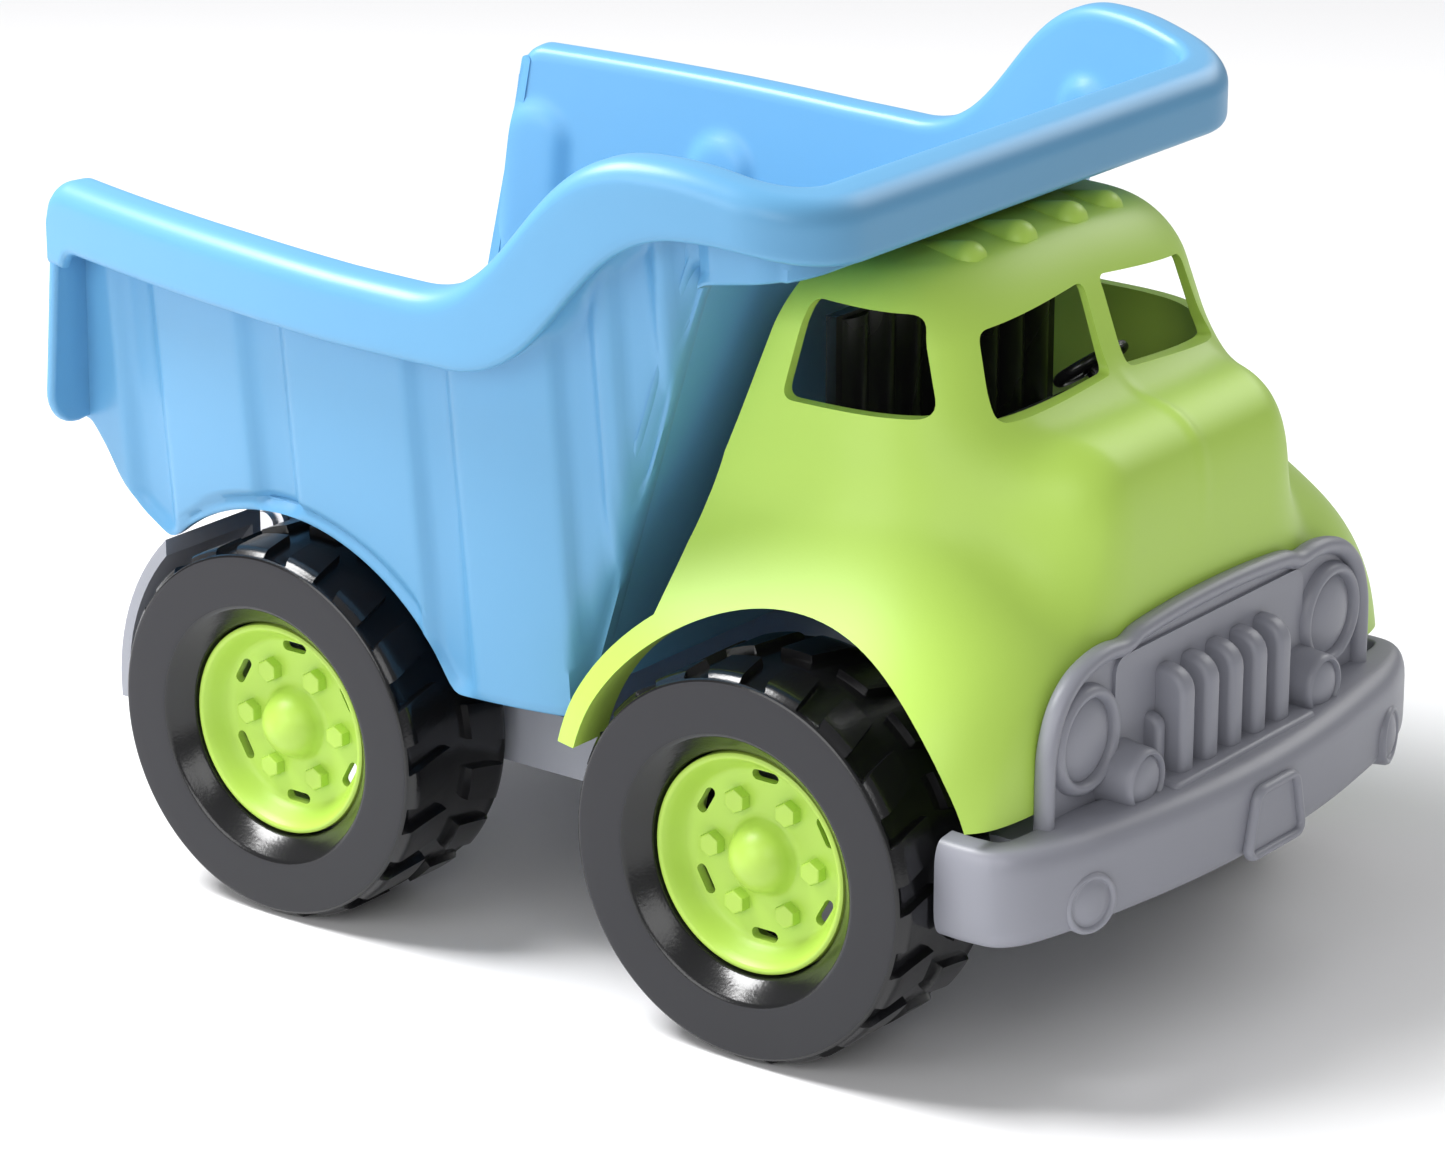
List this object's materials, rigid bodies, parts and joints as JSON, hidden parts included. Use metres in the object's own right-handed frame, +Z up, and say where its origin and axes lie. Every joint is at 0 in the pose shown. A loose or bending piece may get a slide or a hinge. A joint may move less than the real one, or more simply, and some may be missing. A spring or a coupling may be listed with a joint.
{
  "type": "toy dump truck",
  "caption": "Moulded toy dump truck with a tipping open-backed bed, hollow cab, grille and bumper moulding, and chunky lugged wheels on two axles.",
  "frame": {"origin": "on the ground under the middle of the overall length and width", "axes": "+X is the truck's forward, +Y its left, +Z up"},
  "size_m": [0.266, 0.1896, 0.184],
  "materials": {
    "bed_blue": "satin",
    "cab_green": "satin",
    "hub_green": "satin",
    "chassis_grey": "satin",
    "tyre_black": "satin sidewall, glossy tread",
    "interior_black": "gloss",
    "washer_black": "matt",
    "steel": "zinc plated"
  },
  "bodies": {
    "chassis": {"chassis_frame": "chassis_grey", "front_fascia": "chassis_grey", "cab_shell": "cab_green", "front_axle_saddle": "chassis_grey", "rear_axle_saddle": "chassis_grey", "saddle_screws": "steel", "cab_screws": "steel", "fascia_screws": "steel", "interior_screws": "steel", "cab_interior": "interior_black", "bed_hinge_pin": "steel", "hinge_pin_clips": "steel"},
    "bed": {"dump_bed": "bed_blue"},
    "front_wheels": {"front_axle": "steel", "front_left_tyre": "tyre_black", "front_right_tyre": "tyre_black", "front_left_hub": "hub_green", "front_right_hub": "hub_green", "front_wheel_washers": "washer_black"},
    "rear_wheels": {"rear_axle": "steel", "rear_left_tyre": "tyre_black", "rear_right_tyre": "tyre_black", "rear_left_hub": "hub_green", "rear_right_hub": "hub_green", "rear_wheel_washers": "washer_black"}
  },
  "joints": [
    {"name": "bed_tilt", "type": "hinge", "parent": "chassis", "child": "bed", "pos_m": [-0.1092, 0, 0.068], "axis": [0, -1, 0], "range_deg": [0, 50]},
    {"name": "front_wheels_spin", "type": "hinge", "parent": "chassis", "child": "front_wheels", "pos_m": [0.0588, 0, 0.0415], "axis": [0, 1, 0], "continuous": true},
    {"name": "rear_wheels_spin", "type": "hinge", "parent": "chassis", "child": "rear_wheels", "pos_m": [-0.0672, 0, 0.0415], "axis": [0, 1, 0], "continuous": true}
  ]
}
